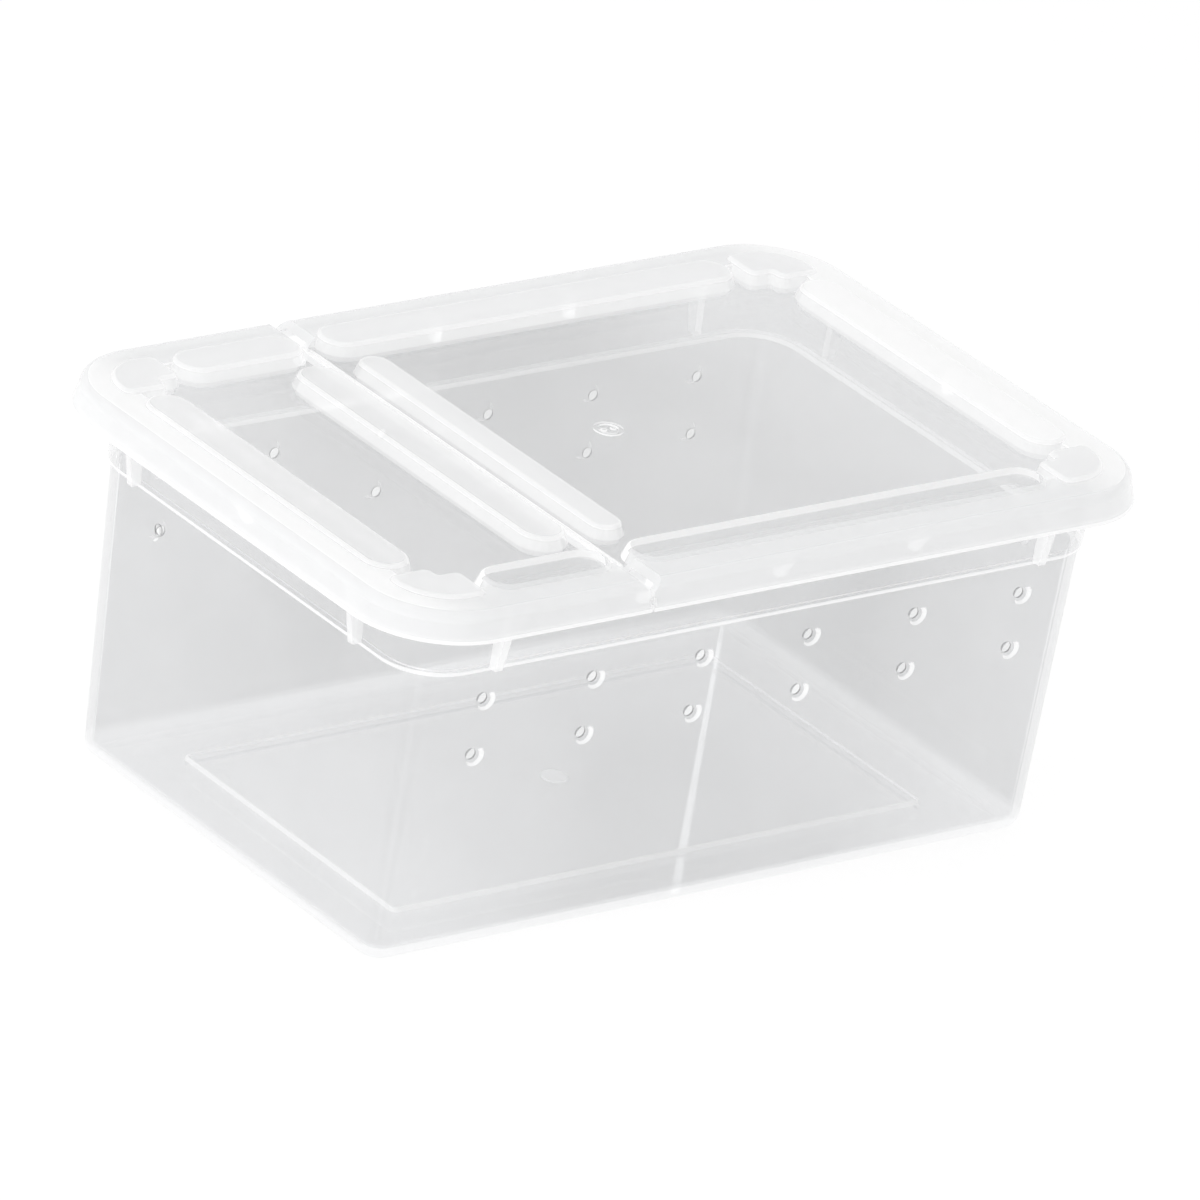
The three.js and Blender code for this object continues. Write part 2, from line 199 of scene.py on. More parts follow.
def rounded(half_x, half_y, radius):
    """Outline of a rectangle with round corners."""
    outline = []
    for quarter in range(4):
        side_x = 1 if quarter in (0, 3) else -1
        side_y = 1 if quarter < 2 else -1
        for i in range(CORNER_STEPS + 1):
            angle = (quarter + i / CORNER_STEPS) * math.pi / 2
            outline.append((side_x * (half_x - radius) + radius * math.cos(angle),
                            side_y * (half_y - radius) + radius * math.sin(angle)))
    return outline


def inset(sizes, amount):
    return rounded(*[size - amount for size in sizes])


def wall_sizes(z):
    share = z / LEDGE_Z
    return [low + (high - low) * share for low, high in zip(FOOT, LEDGE)]


def wall(z, amount):
    return inset(wall_sizes(z), amount)


def band_inset(z):
    return BAND_FLARE * (FLANGE_LOW - z) / (FLANGE_LOW - LEDGE_Z - LEDGE_RISE)


def skirt_inset(z):
    return SKIRT_DRAFT * (z - SKIRT_LOW) / (SKIRT_TOP - SKIRT_LOW)


def box(low, high):
    x0, y0, z0 = low
    x1, y1, z1 = high
    outline = [(x0, y0), (x1, y0), (x1, y1), (x0, y1)]
    return loft([(outline, z0), (outline, z1)])


def turned(part, angle, x=0.0, y=0.0, z=0.0):
    vertices, faces = part
    c, s = math.cos(angle), math.sin(angle)
    return [(x + c * u - s * v, y + s * u + c * v, z + w) for u, v, w in vertices], faces


def prism(points, depth):
    """Prism of an outline in X and Z, centred on Y. The outline runs counter-clockwise seen from -Y."""
    count = len(points)
    vertices = [(x, -depth / 2, z) for x, z in points] + [(x, depth / 2, z) for x, z in points]
    faces = [tuple(range(count)), tuple(reversed(range(count, 2 * count)))]
    for i in range(count):
        j = (i + 1) % count
        faces.append((j, i, i + count, j + count))
    return vertices, faces


def cone(profile, sides):
    """Round body along +Y through (place, radius) pairs."""
    vertices, faces = [], []
    for y, radius in profile:
        vertices += [(radius * math.cos(a), y, -radius * math.sin(a)) for a in turn_angles(sides)]
    for level in range(len(profile) - 1):
        for i in range(sides):
            j = (i + 1) % sides
            start = level * sides
            faces.append((start + i, start + j, start + j + sides, start + i + sides))
    last = (len(profile) - 1) * sides
    return vertices, faces + [tuple(reversed(range(sides))), tuple(range(last, last + sides))]


def turn_angles(sides):
    return [2 * math.pi * i / sides for i in range(sides)]


def disc(radius, low, high, x=0.0):
    """Low round boss with a small rounded top edge."""
    profile = [(radius, low), (radius, high - GATE_EDGE)]
    profile += [(radius - GATE_BEVEL, high - GATE_BEVEL), (radius - GATE_EDGE, high)]
    levels = []
    for r, z in profile:
        levels.append(([(x + r * math.cos(a), r * math.sin(a)) for a in turn_angles(GATE_SIDES)], z))
    return loft(levels)


def ring(inner, outer, low, high):
    profile = [(inner, low), (outer, low), (outer, high), (inner, high)]
    vertices = []
    for a in turn_angles(RING_SIDES):
        vertices += [(r * math.cos(a), r * math.sin(a), z) for r, z in profile]
    faces = []
    for i in range(RING_SIDES):
        j = (i + 1) % RING_SIDES
        for k in range(4):
            m = (k + 1) % 4
            faces.append((i * 4 + k, j * 4 + k, j * 4 + m, i * 4 + m))
    return vertices, faces


# Booleans

scratch = []


def scratch_object(name, part):
    data = mesh_of(name, *part)
    bm = bmesh.new()
    bm.from_mesh(data)
    bmesh.ops.remove_doubles(bm, verts=bm.verts, dist=MERGE_METRES)
    bmesh.ops.recalc_face_normals(bm, faces=bm.faces)
    bm.to_mesh(data)
    bm.free()
    thing = bpy.data.objects.new(name, data)
    scene.collection.objects.link(thing)
    scratch.append(thing)
    return thing


def carved(name, base, steps):
    """Mesh of the base after adding or cutting each body in turn."""
    thing = base if isinstance(base, bpy.types.Object) else scratch_object(name, base)
    for index, (operation, part) in enumerate(steps):
        is_object = isinstance(part, bpy.types.Object)
        other = part if is_object else scratch_object(f"{name}_{index}", part)
        modifier = thing.modifiers.new(f"step_{index}", "BOOLEAN")
        modifier.operation = operation
        modifier.solver = "MANIFOLD"
        modifier.object = other
    graph = bpy.context.evaluated_depsgraph_get()
    data = bpy.data.meshes.new_from_object(thing.evaluated_get(graph))
    thing.modifiers.clear()
    data.name = name
    return data


def carved_object(name, base, steps):
    data = carved(name, base, steps)
    thing = bpy.data.objects.new(name, data)
    scene.collection.objects.link(thing)
    scratch.append(thing)
    return thing


# Tub

def quarter_levels(rounding, outline_at, z0):
    """Levels of the round edge between floor and wall."""
    levels = []
    for i in range(FOOT_STEPS + 1):
        angle = i / FOOT_STEPS * math.pi / 2
        z = z0 + rounding * (1 - math.cos(angle))
        levels.append((outline_at(z, rounding * (1 - math.sin(angle))), z))
    return levels


def tub_outside():
    levels = quarter_levels(FOOT_ROUNDING, wall, 0.0)
    levels.append((wall(LEDGE_LINE[0], 0.0), LEDGE_LINE[0]))
    levels.append((wall(LEDGE_Z, 0.0), LEDGE_Z))
    levels.append((inset(BAND, BAND_FLARE + LEDGE_FILLET), LEDGE_Z + LEDGE_FILLET))
    levels.append((inset(BAND, BAND_FLARE), LEDGE_Z + LEDGE_RISE))
    levels.append((inset(BAND, band_inset(LEDGE_LINE[1])), LEDGE_LINE[1]))
    levels.append((inset(BAND, BAND_TOP_INSET), FLANGE_LOW - BAND_TOP_DROP))
    levels.append((inset(BAND, 0.0), FLANGE_LOW))
    levels.append((inset(LID, FLANGE_INSET), FLANGE_LOW))
    for i in range(EDGE_STEPS + 1):
        angle = i / EDGE_STEPS * math.pi / 2
        z = FLANGE_TOP - FLANGE_EDGE * (1 - math.sin(angle))
        levels.append((inset(LID, FLANGE_INSET + FLANGE_EDGE * (1 - math.cos(angle))), z))
    return loft(levels)


def tub_inside():
    levels = quarter_levels(FOOT_ROUNDING - TUB_WALL, lambda z, i: wall(z, TUB_WALL + i), TUB_FLOOR)
    levels.append((wall(LEDGE_LINE[0], TUB_WALL), LEDGE_LINE[0]))
    levels.append((wall(LEDGE_Z, TUB_WALL), LEDGE_Z))
    levels.append((inset(BAND, BAND_FLARE + TUB_WALL), LEDGE_Z + LEDGE_RISE))
    levels.append((inset(BAND, band_inset(LEDGE_LINE[1]) + TUB_WALL), LEDGE_LINE[1]))
    levels.append((inset(BAND, TUB_WALL), FLANGE_TOP))
    levels.append((inset(BAND, TUB_WALL), FLANGE_TOP + OVERRUN))
    return loft(levels)


def gusset(low):
    reach = FLANGE_REACH - GUSSET_MARGIN
    root = -BAND_FLARE - TUB_WALL / 2
    high = FLANGE_LOW + FLANGE_THICKNESS / 2
    outline = [(root, low), (GUSSET_FOOT, low), (reach, FLANGE_LOW), (reach, high), (root, high)]
    return prism(outline, GUSSET_THICKNESS)


def gussets():
    long_low = LEDGE_Z + LEDGE_RISE
    short_low = FLANGE_LOW - GUSSET_SHORT
    parts = []
    for side in (-1, 1):
        for step in (-2, -1, 0, 1, 2):
            plate = gusset(long_low if abs(step) == 2 else short_low)
            parts.append(turned(plate, side * math.pi / 2, step * GUSSET_PITCH_X, side * BAND[1]))
        for step in (-1, 0, 1):
            plate = gusset(short_low if step == 0 else long_low)
            parts.append(turned(plate, math.pi if side < 0 else 0.0, side * BAND[0], step * GUSSET_PLACE_Y))
    return joined(parts)


def vent_places():
    """Centre on the outer face and turn about Z of each air hole."""
    places = []
    for side in (-1, 1):
        for row in range(2):
            z = VENT_Z - row * VENT_DROP
            face = wall_sizes(z)[1]
            for column in range(VENT_COLUMNS):
                x = (column - (VENT_COLUMNS - 1) / 2) * VENT_PITCH
                places.append((x, side * face, z, math.pi if side < 0 else 0.0))
        face = wall_sizes(VENT_Z)[0]
        places.append((side * face, -side * VENT_END_Y, VENT_Z, -side * math.pi / 2))
    return places


def vents():
    profile = [(-2 * TUB_WALL, VENT_THROAT), (THROAT_DEPTH - TUB_WALL, VENT_THROAT)]
    profile += [(-VENT_RING, VENT_MOUTH - VENT_SLOPE * VENT_RING)]
    profile += [(TUB_WALL, VENT_MOUTH + VENT_SLOPE * TUB_WALL)]
    vent = cone(profile, VENT_SIDES)
    return joined([turned(vent, angle, x, y, z) for x, y, z, angle in vent_places()])


def pad(low, high):
    levels = [(inset(PAD, -PAD_SLOPE), low)]
    levels.append((inset(PAD, -PAD_BULGE), high - PAD_ROUND))
    levels.append((inset(PAD, 0.0), high - PAD_BEVEL))
    levels.append((inset(PAD, PAD_ROUND), high))
    return loft(levels)


# Lid

def lid_outside():
    levels = [(inset(LID, LIP_EDGE), SKIRT_LOW)]
    levels.append((inset(LID, LIP_BEVEL), SKIRT_LOW + LIP_BEVEL))
    levels.append((inset(LID, 0.0), SKIRT_LOW + LIP_EDGE))
    levels.append((inset(LID, skirt_inset(SKIRT_LOW + LIP)), SKIRT_LOW + LIP))
    for i in range(2 * EDGE_STEPS + 1):
        angle = i / (2 * EDGE_STEPS) * math.pi / 2
        z = SKIRT_TOP + SHOULDER * math.sin(angle)
        levels.append((inset(LID, SKIRT_DRAFT + SHOULDER * (1 - math.cos(angle))), z))
    return loft(levels)


def lid_inside():
    low = SKIRT_LOW - OVERRUN
    top = LAND_LOW - SHOULDER_IN
    levels = [(inset(LID, LID_WALL + skirt_inset(z)), z) for z in (low, SKIRT_LOW + LIP)]
    for i in range(EDGE_STEPS + 1):
        angle = i / EDGE_STEPS * math.pi / 2
        z = top + SHOULDER_IN * math.sin(angle)
        levels.append((inset(LID, LID_WALL + skirt_inset(top) + SHOULDER_IN * (1 - math.cos(angle))), z))
    return loft(levels)


def recess(grow, low, lip=0.0):
    """Body of the lid's sunk middle above low, grown on its sides, with a round lip at the land."""
    amount = TUB_WALL + MOUTH_GAP + LID_WALL - grow
    levels = [(inset(BAND, amount + RECESS_DRAFT), low)]
    levels.append((inset(BAND, amount), LAND_TOP - lip))
    if lip:
        for i in range(1, EDGE_STEPS + 1):
            angle = i / EDGE_STEPS * math.pi / 2
            z = LAND_TOP - lip * (1 - math.sin(angle))
            levels.append((inset(BAND, amount - lip * (1 - math.cos(angle))), z))
        amount -= lip
    levels.append((inset(BAND, amount), LAND_TOP + OVERRUN))
    return loft(levels)


def rail(bar, offset):
    """Outline of a straight bar with round ends, grown by the offset."""
    outline = []
    radius = bar["half_width"] + offset
    run = bar["half_length"] - bar["half_width"]
    for side in (1, -1):
        for i in range(CAP_STEPS + 1):
            angle = (i / CAP_STEPS - side / 2) * math.pi
            along = side * run + radius * math.cos(angle)
            across = radius * math.sin(angle)
            if bar["along_x"]:
                outline.append((bar["x"] + along, bar["y"] + across))
            else:
                outline.append((bar["x"] - across, bar["y"] + along))
    return outline


def bend(bar, offset):
    """Outline of an L-shaped corner bar, grown by the offset."""
    inner = BEND_INNER - offset
    inner_arc = max(inner, BEND_LEAST)
    centre = inner - inner_arc
    outer = BEND_OUTER + offset
    corner = BEND_CORNER + offset
    end_x = corner - BEND_STUB[0] - offset
    end_y = corner - BEND_STUB[1] - offset
    points = []

    def arc(cx, cy, radius, start, end, steps):
        for i in range(steps + 1):
            angle = (start + (end - start) * i / steps) * math.pi / 2
            points.append((cx + radius * math.cos(angle), cy + radius * math.sin(angle)))

    arc(0, 0, outer, 0, 1, CORNER_STEPS)
    arc(end_x, outer - corner, corner, 1, 2, EDGE_STEPS)
    arc(end_x, inner + corner, corner, 2, 3, EDGE_STEPS)
    arc(centre, centre, inner_arc, 1, 0, EDGE_STEPS)
    arc(inner + corner, end_y, corner, 2, 3, EDGE_STEPS)
    arc(outer - corner, end_y, corner, 3, 4, EDGE_STEPS)
    outline = [(bar["side_x"] * (BEND[0] + x), bar["side_y"] * (BEND[1] + y)) for x, y in points]
    return outline[::-1] if bar["side_x"] * bar["side_y"] < 0 else outline


def bar_outline(bar, offset):
    return bend(bar, offset) if "side_x" in bar else rail(bar, offset)


def bar_outside(bar):
    low = PANEL_TOP - LID_WALL / 2
    levels = [(bar_outline(bar, (BAR_TOP - low) * BAR_SLOPE), low)]
    for i in range(EDGE_STEPS + 1):
        angle = i / EDGE_STEPS * math.pi / 2
        z = BAR_TOP - BAR_EDGE * (1 - math.sin(angle))
        offset = (BAR_TOP - z) * BAR_SLOPE - BAR_EDGE * (1 - math.cos(angle))
        levels.append((bar_outline(bar, offset), z))
    return loft(levels)


def bar_inside(bar):
    levels = []
    for z in (PANEL_LOW - OVERRUN, BAR_TOP - LID_WALL):
        levels.append((bar_outline(bar, (BAR_TOP - z) * BAR_SLOPE - LID_WALL), z))
    return loft(levels)


def lid_bars():
    bars = []
    near = HINGE_BAR_GAP + BAR_DRAFT
    long_end = BEND[0] - BEND_STUB[0] - BAR_END_GAP
    side_half = BEND[1] - BEND_STUB[1] - BAR_END_GAP

    def along_x(start, end, y):
        bars.append({"along_x": True, "x": (start + end) / 2, "y": y,
                     "half_length": (end - start) / 2, "half_width": RAIL_HALF})

    def along_y(x, half_length, half_width):
        bars.append({"along_x": False, "x": x, "y": 0,
                     "half_length": half_length, "half_width": half_width})

    for side in (-1, 1):
        along_x(-long_end, HINGE_X - near, side * RAIL_Y)
        along_x(HINGE_X + near, long_end, side * RAIL_Y)
        along_y(side * RAIL_X, side_half, RAIL_HALF)
        bars.append({"side_x": side, "side_y": side})
        bars.append({"side_x": side, "side_y": -side})
    along_y(HINGE_X - near - FLAP_BAR / 2, HINGE_BAR_HALF, FLAP_BAR / 2)
    along_y(HINGE_X + near + COVER_BAR / 2, HINGE_BAR_HALF, COVER_BAR / 2)
    return bars


def side_of_hinge(side):
    """Body round the part of the lid on one side of the hinge. It slopes away above the film."""
    far = 2 * LID[0]
    low = SKIRT_LOW - OVERRUN
    high = BAR_TOP + OVERRUN
    points = [(SPLIT_HALF, low), (far, low), (far, high)]
    points += [(SPLIT_HALF + high - HINGE_Z, high), (SPLIT_HALF, HINGE_Z)]
    return turned(prism(points, 2 * (LID[1] + OVERRUN)), math.pi if side < 0 else 0.0, HINGE_X)


def hinge_cuts():
    """Slot for the film, and the notches in the skirt at both ends of the hinge."""
    slot_x = FILM_HALF[0] + FILM_GAP
    slot_y = FILM_HALF[1] + FILM_GAP
    slot_low = (HINGE_X - slot_x, -slot_y, PANEL_LOW - OVERRUN)
    parts = [box(slot_low, (HINGE_X + slot_x, slot_y, PANEL_TOP + FILM_GAP))]
    for side in (-1, 1):
        y = side * (LID[1] + (OVERRUN - LID_WALL) / 2)
        reach = (OVERRUN + LID_WALL) / 2
        low = (HINGE_X - RELIEF_HALF, y - reach, RELIEF_LOW)
        parts.append(box(low, (HINGE_X + RELIEF_HALF, y + reach, RELIEF_LOW + RELIEF_HEIGHT)))
    return joined(parts)


# Clear and milky plastic

# Between these distances from the middle along X, in metres, a moulding gets clearer or milkier; the
# milkier, whiter ends are painted light
ENDS = (0.018, 0.072)
LAND_ENDS = (0.072, 0.089)
SEED_Y = 0.7
CLOUD_SCALE = 34.0
CLOUD_DETAIL = 2.0
CLOUD_ROUGHNESS = 0.6
PEEL_SCALE = 190.0
PEEL_DETAIL = 1.0
PEEL_DEPTH = 0.0004
FLOW_LINES = 1400.0
FLOW_WOBBLE = 0.02
FLOW_IN_COLOUR = 0.05
FLOW_IN_HEIGHT = 0.1
TINT_SPREAD = 0.012
CHANNEL_SHARES = (0.9985, 1.0, 1.003)
ROUGH_LEAST = 0.75
ROUGH_MOST = 1.35
MILK_ROUGHNESS = 0.3
THROUGH_SHARE = 0.45
MIRROR_LEAST = 0.04
MIRROR_POWER = 5.0
SOFT_PASS = 0.99
SOFT_MILK_LOSS = 0.06
SHARP_ANGLE = 28.0
NORMAL_WEIGHT = 60


class Plastic:
    """Makes the nodes of one material."""

    def __init__(self, name):
        self.material = bpy.data.materials.new(name)
        self.material.use_nodes = True
        self.tree = self.material.node_tree
        self.tree.nodes.clear()

    def node(self, kind, inputs=None, **settings):
        node = self.tree.nodes.new(kind)
        for key, value in settings.items():
            setattr(node, key, value)
        for key, value in (inputs or {}).items():
            if isinstance(value, bpy.types.NodeSocket):
                self.tree.links.new(value, node.inputs[key])
            else:
                node.inputs[key].default_value = value
        return node

    def math(self, operation, a, b=0.0, clamp=False):
        made = self.node("ShaderNodeMath", {0: a, 1: b}, operation=operation, use_clamp=clamp)
        return made.outputs[0]

    def add_scaled(self, value, factor, base):
        inputs = {0: value, 1: factor, 2: base}
        return self.node("ShaderNodeMath", inputs, operation="MULTIPLY_ADD").outputs[0]

    def spread(self, value, low, high):
        inputs = {"Value": value, "To Min": low, "To Max": high}
        return self.node("ShaderNodeMapRange", inputs).outputs[0]


def plastic(name, tint, milk_and_edge_light, gloss=0.9, roughness=0.06, seed=0.0, milk_spread=0.03, grain=0.02,
            milk_and_light_colour=MILK, painted_glow=0.0, painted_reflection=0.0, end_tint=0.0, end_painted_light=0.0, ends=ENDS):
    """Clear moulding: tint per surface, milkiness, gloss, flow marks and fine orange peel. Small milkiness
    is real haze; large milkiness is painted light, in place of the light clear plastic gathers at its edges.

    The glow is painted light: emission on a thin edge, in place of light guided there.
    The mirror glow is a painted reflection: emission that mirror rays see, in place of what a corner
    reflects.
    The end tint and the end milk are added towards the ends of the box, between the two distances in ends;
    the end milk, whiter there, is painted light.
    """
    kit = Plastic(name)
    node = kit.node
    place = node("ShaderNodeTexCoord").outputs["Object"]
    shift = (seed, seed * SEED_Y, -seed)
    moved = node("ShaderNodeVectorMath", {0: place, 1: shift}, operation="ADD").outputs[0]
    cloud_inputs = {"Vector": moved, "Scale": CLOUD_SCALE, "Detail": CLOUD_DETAIL,
                    "Roughness": CLOUD_ROUGHNESS}
    cloud = node("ShaderNodeTexNoise", cloud_inputs).outputs[0]
    peel_inputs = {"Vector": moved, "Scale": PEEL_SCALE, "Detail": PEEL_DETAIL}
    peel = node("ShaderNodeTexNoise", peel_inputs).outputs[0]
    reach = node("ShaderNodeVectorMath", {0: place}, operation="LENGTH").outputs["Value"]
    wobble = kit.add_scaled(cloud, FLOW_WOBBLE, reach)
    flow = kit.math("SINE", kit.math("MULTIPLY", wobble, FLOW_LINES))
    level = kit.add_scaled(flow, FLOW_IN_COLOUR, cloud)

    along = kit.math("ABSOLUTE", node("ShaderNodeSeparateXYZ", {0: place}).outputs["X"])
    end = node("ShaderNodeMapRange", {"Value": along, "From Min": ends[0], "From Max": ends[1]},
               interpolation_type="SMOOTHSTEP").outputs[0]

    shade = kit.spread(level, -TINT_SPREAD, TINT_SPREAD)
    if end_tint:
        shade = kit.add_scaled(end, end_tint, shade)
    red, green, blue = [kit.math("ADD", shade, tint * share) for share in CHANNEL_SHARES]
    colour = node("ShaderNodeCombineColor", {0: red, 1: green, 2: blue}).outputs[0]
    clear = node("ShaderNodeBsdfTransparent", {"Color": colour}).outputs[0]

    height = kit.add_scaled(flow, FLOW_IN_HEIGHT, peel)
    bump_inputs = {"Height": height, "Strength": grain, "Distance": PEEL_DEPTH}
    bump = node("ShaderNodeBump", bump_inputs).outputs[0]
    rough = kit.spread(cloud, roughness * ROUGH_LEAST, roughness * ROUGH_MOST)

    # Milky white share: real haze where it is small, painted light where it is large
    milk_and_light_tone = milk_and_light_colour
    share = kit.spread(level, max(milk_and_edge_light - milk_spread, 0.0), min(milk_and_edge_light + milk_spread, 1.0))
    # Painted light: milkier and whiter towards the ends
    if end_painted_light:
        end_light_tones = {"Factor": end, "A": milk_and_light_colour, "B": WHITE}
        milk_and_light_tone = node("ShaderNodeMix", end_light_tones, data_type="RGBA").outputs["Result"]
        share = kit.add_scaled(end, end_painted_light, share)
    body_inputs = {"Color": milk_and_light_tone, "Roughness": MILK_ROUGHNESS, "Normal": bump}
    body = node("ShaderNodeBsdfDiffuse", body_inputs).outputs[0]
    through = node("ShaderNodeBsdfTranslucent", {"Color": milk_and_light_tone}).outputs[0]
    milky_and_lit = node("ShaderNodeMixShader", {0: THROUGH_SHARE, 1: body, 2: through}).outputs[0]
    lower = node("ShaderNodeMixShader", {0: share, 1: clear, 2: milky_and_lit}).outputs[0]

    facing = node("ShaderNodeLayerWeight", {"Blend": 0.5}).outputs["Facing"]
    grazing = kit.math("POWER", facing, MIRROR_POWER)
    fresnel = kit.add_scaled(grazing, 1.0 - MIRROR_LEAST, MIRROR_LEAST)
    mirror = kit.math("MULTIPLY", fresnel, gloss, clamp=True)
    shine_inputs = {"Color": WHITE, "Roughness": rough, "Normal": bump}
    shine = node("ShaderNodeBsdfAnisotropic", shine_inputs).outputs[0]
    seen = node("ShaderNodeMixShader", {0: mirror, 1: lower, 2: shine}).outputs[0]

    # Soft light passes the moulding with a small loss, so the floor under it stays bright
    paths = node("ShaderNodeLightPath").outputs
    soft = kit.math("MAXIMUM", paths["Is Shadow Ray"], paths["Is Diffuse Ray"])
    loss = SOFT_PASS * (1.0 - SOFT_MILK_LOSS * milk_and_edge_light)
    passing = node("ShaderNodeBsdfTransparent", {"Color": (loss, loss, loss, 1.0)}).outputs[0]
    # Painted glow: emission in place of light guided along a thin edge
    if painted_glow:
        painted_guided_light = node("ShaderNodeEmission", {"Color": milk_and_light_colour, "Strength": painted_glow}).outputs[0]
        seen = node("ShaderNodeAddShader", {0: seen, 1: painted_guided_light}).outputs[0]
    # Painted reflection: emission that only mirror rays see
    if painted_reflection:
        painted_reflection_strength = kit.math("MULTIPLY", paths["Is Glossy Ray"], painted_reflection)
        painted_reflection_light = node("ShaderNodeEmission", {"Color": WHITE, "Strength": painted_reflection_strength}).outputs[0]
        seen = node("ShaderNodeAddShader", {0: seen, 1: painted_reflection_light}).outputs[0]
    whole = node("ShaderNodeMixShader", {0: soft, 1: seen, 2: passing}).outputs[0]
    node("ShaderNodeOutputMaterial", {"Surface": whole})
    return kit.material


def finish_mesh(data, materials, pick):
    """Give each face its material, smooth the round parts and keep the edges."""
    data.materials.clear()
    for material in materials.values():
        data.materials.append(material)
    order = list(materials)
    for polygon in data.polygons:
        centre = polygon.center / MM
        polygon.material_index = order.index(pick(centre, polygon.normal))
        polygon.use_smooth = True
    data.set_sharp_from_angle(angle=math.radians(SHARP_ANGLE))


def piece(name, data, body, node):
    thing = bpy.data.objects.new(name, data)
    scene.collection.objects.link(thing)
    weighted = thing.modifiers.new("weighted_normals", "WEIGHTED_NORMAL")
    weighted.keep_sharp = True
    weighted.weight = NORMAL_WEIGHT
    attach(thing, body)
    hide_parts(node)


# Tub piece

tub_materials = {
    "wall": plastic("tub_wall", tint=0.868, milk_and_edge_light=0.02, seed=0.11, end_tint=0.044),
    "floor": plastic("tub_floor", tint=0.95, milk_and_edge_light=0.02, gloss=1.0, roughness=0.03, seed=0.35, grain=0.01,
                     end_tint=0.035),
    "foot": plastic("tub_foot", tint=0.97, milk_and_edge_light=0.12, seed=0.2, end_tint=0.015),
    "corner": plastic("tub_corner", tint=0.905, milk_and_edge_light=0.03, seed=0.6),
    # Painted reflection: the corner core adds a bright line that mirror rays see
    "corner_core": plastic("tub_corner_painted_reflection", tint=0.905, milk_and_edge_light=0.03, seed=0.65, painted_reflection=0.75),
    "under": plastic("tub_under", tint=0.985, milk_and_edge_light=0.06, seed=0.3, gloss=0.0),
    "band": plastic("tub_band", tint=0.868, milk_and_edge_light=0.03, seed=0.47, end_tint=0.06),
    # Painted light: the milky white of the flange, edge and ledge materials stands in for light the clear
    # moulding gathers at its edges and steps
    "flange": plastic("tub_flange", tint=0.97, milk_and_edge_light=0.55, seed=0.77),
    # Gussets: lit copies of one plastic, whitened by painted light, the far and short ones with painted glow
    "gusset": plastic("tub_gusset", tint=0.98, milk_and_edge_light=0.42, seed=0.95, milk_and_light_colour=WHITE),
    "far_gusset": plastic("tub_far_gusset", tint=0.98, milk_and_edge_light=0.72, seed=0.97, milk_and_light_colour=WHITE,
                          painted_glow=0.04),
    "short_gusset": plastic("tub_short_gusset", tint=0.98, milk_and_edge_light=0.85, seed=0.99, milk_and_light_colour=WHITE,
                            painted_glow=0.3),
    "edge": plastic("tub_edge", tint=0.99, milk_and_edge_light=0.85, seed=0.9, milk_and_light_colour=WHITE),
    "ledge": plastic("tub_ledge", tint=0.98, milk_and_edge_light=0.6, seed=0.85, milk_and_light_colour=WHITE),
    # Painted shade: the dark throat of each air hole, in place of the dark rim that refraction shows there
    "shade": plastic("vent_throat_painted_dark", tint=0.5, milk_and_edge_light=0.0, seed=0.8, gloss=0.3),
}
vent_list = vent_places()

# Allowances for telling by its centre which surface a face belongs to, in millimetres
NEAR = 0.05
NEAR_BAND = 0.1
NEAR_VENT = 0.6
NEAR_FLANGE = 0.4
NEAR_GATE = 0.2
PAD_INNER = 0.3
PAD_OUTER = 1.2
FLOOR_ZONE = TUB_FLOOR + PAD_RISE + 0.6
# How far an air hole's ring must face the highlight side to get a painted highlight in white ledge material,
# on the long walls and on the end walls
HIGHLIGHT_LONG = -0.1
HIGHLIGHT_END = 0.75
# From this Z part of its normal a face is level, and from this part along an air hole it belongs to the wall
LEVEL = 0.98
ACROSS = 0.9
# Shares of the turn round a vertical corner; the narrower core gets a painted reflection
CORNER = (0.36, 0.64)
CORNER_REFLECTION = (0.44, 0.56)


def vent_part(centre, normal):
    """Material of a face in an air hole: throat in painted shade, outer ring with a painted highlight on one
    side, or the rest of the cone, else None.
    """
    for x, y, z, angle in vent_list:
        away = centre - Vector((x, y, z))
        if away.length > VENT_MOUTH + NEAR_VENT:
            continue
        axis = Vector((-math.sin(angle), math.cos(angle), 0.0))
        depth = away.dot(axis)
        across = away - axis * depth
        if across.length > VENT_MOUTH + NEAR or abs(normal.dot(axis)) > ACROSS:
            continue
        # The throat is painted dark
        if depth < THROAT_DEPTH - TUB_WALL:
            return "shade"
        # The outer ring on that side gets the white ledge material as a painted highlight
        least = HIGHLIGHT_LONG if abs(axis.y) > 0.5 else HIGHLIGHT_END
        highlighted = across.normalized().dot(VENT_HIGHLIGHT) > least
        return "ledge" if highlighted and depth > -VENT_RING else "wall"
    return None


def corner_share(centre, z):
    """How far round its corner a point of the wall lies, from 0 to 1, or None off the corner."""
    half_x, half_y, radius = wall_sizes(min(max(z, 0.0), LEDGE_Z))
    x = abs(centre.x) - (half_x - radius)
    y = abs(centre.y) - (half_y - radius)
    if x <= 0 or y <= 0:
        return None
    return math.atan2(y, x) / (math.pi / 2)


def pick_floor(x, y, z, level):
    """Material of a face at the height of the floor, or None for the wall beside it."""
    if z > TUB_FLOOR + PAD_INNER and math.hypot(x, y) < FLOOR_GATE + NEAR_GATE:
        return "flange"
    # Pad edges get a painted highlight line in the white edge material
    inside = x < PAD[0] - PAD_INNER and y < PAD[1] - PAD_INNER
    if x < PAD[0] + PAD_OUTER and y < PAD[1] + PAD_OUTER and not inside and not level:
        return "edge" if z > TUB_FLOOR - NEAR_BAND else "under"
    return "floor" if level else None


